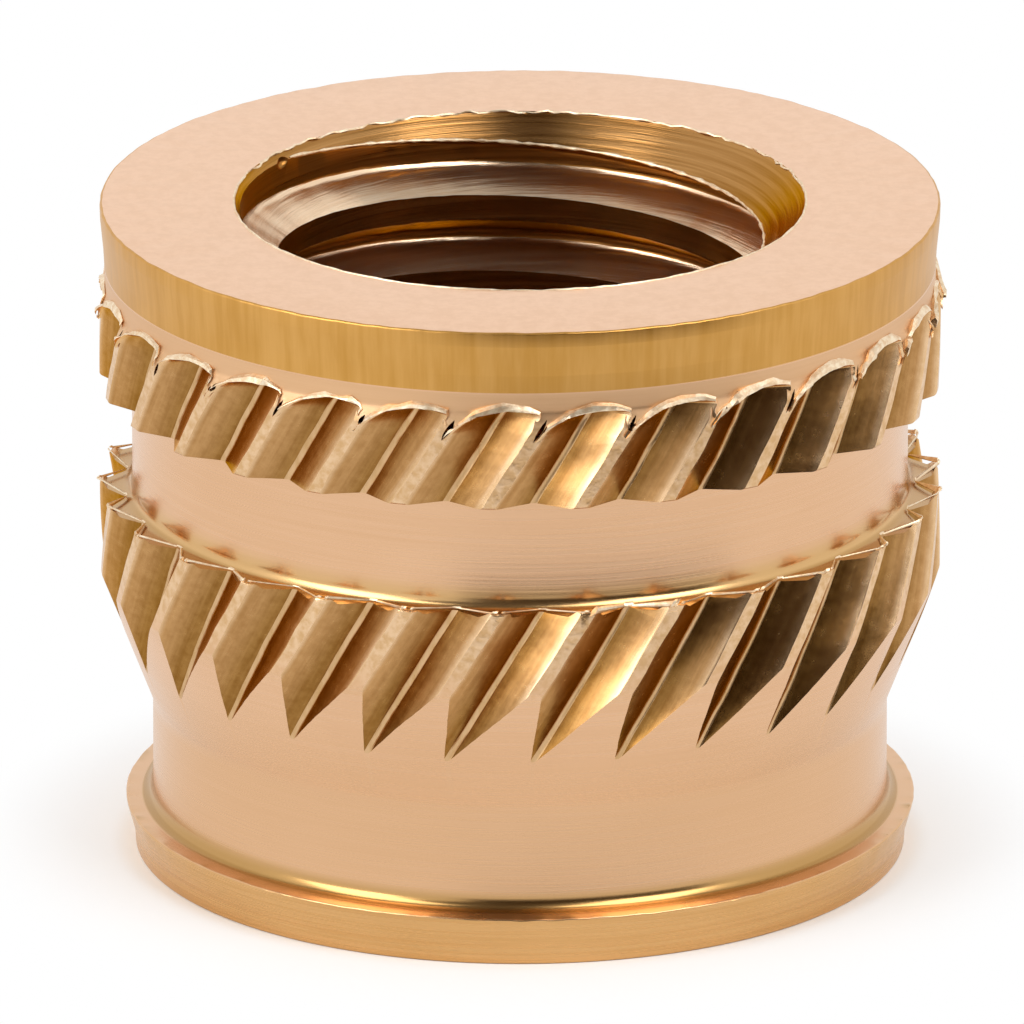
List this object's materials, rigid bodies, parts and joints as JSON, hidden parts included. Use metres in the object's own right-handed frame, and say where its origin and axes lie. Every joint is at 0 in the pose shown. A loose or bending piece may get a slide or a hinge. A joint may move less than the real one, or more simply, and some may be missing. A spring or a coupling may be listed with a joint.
{
  "type": "threaded insert",
  "caption": "Brass bush with a threaded bore and slanted knurl bands, pressed hot into a moulded boss to give it a metal screw thread.",
  "frame": {"origin": "centre of the lead end face, on the axis of the bore", "axes": "+Z along the bore, from the lead end with the pilot flange up to the plain rim at the head; a knurl groove of each band faces roughly -Y"},
  "size_m": [0.0096, 0.0096, 0.0076],
  "materials": {
    "brass": "bare machined brass, matt where turned and bright on the knurl"
  },
  "bodies": {
    "root": {"insert_body": "brass"}
  },
  "joints": []
}
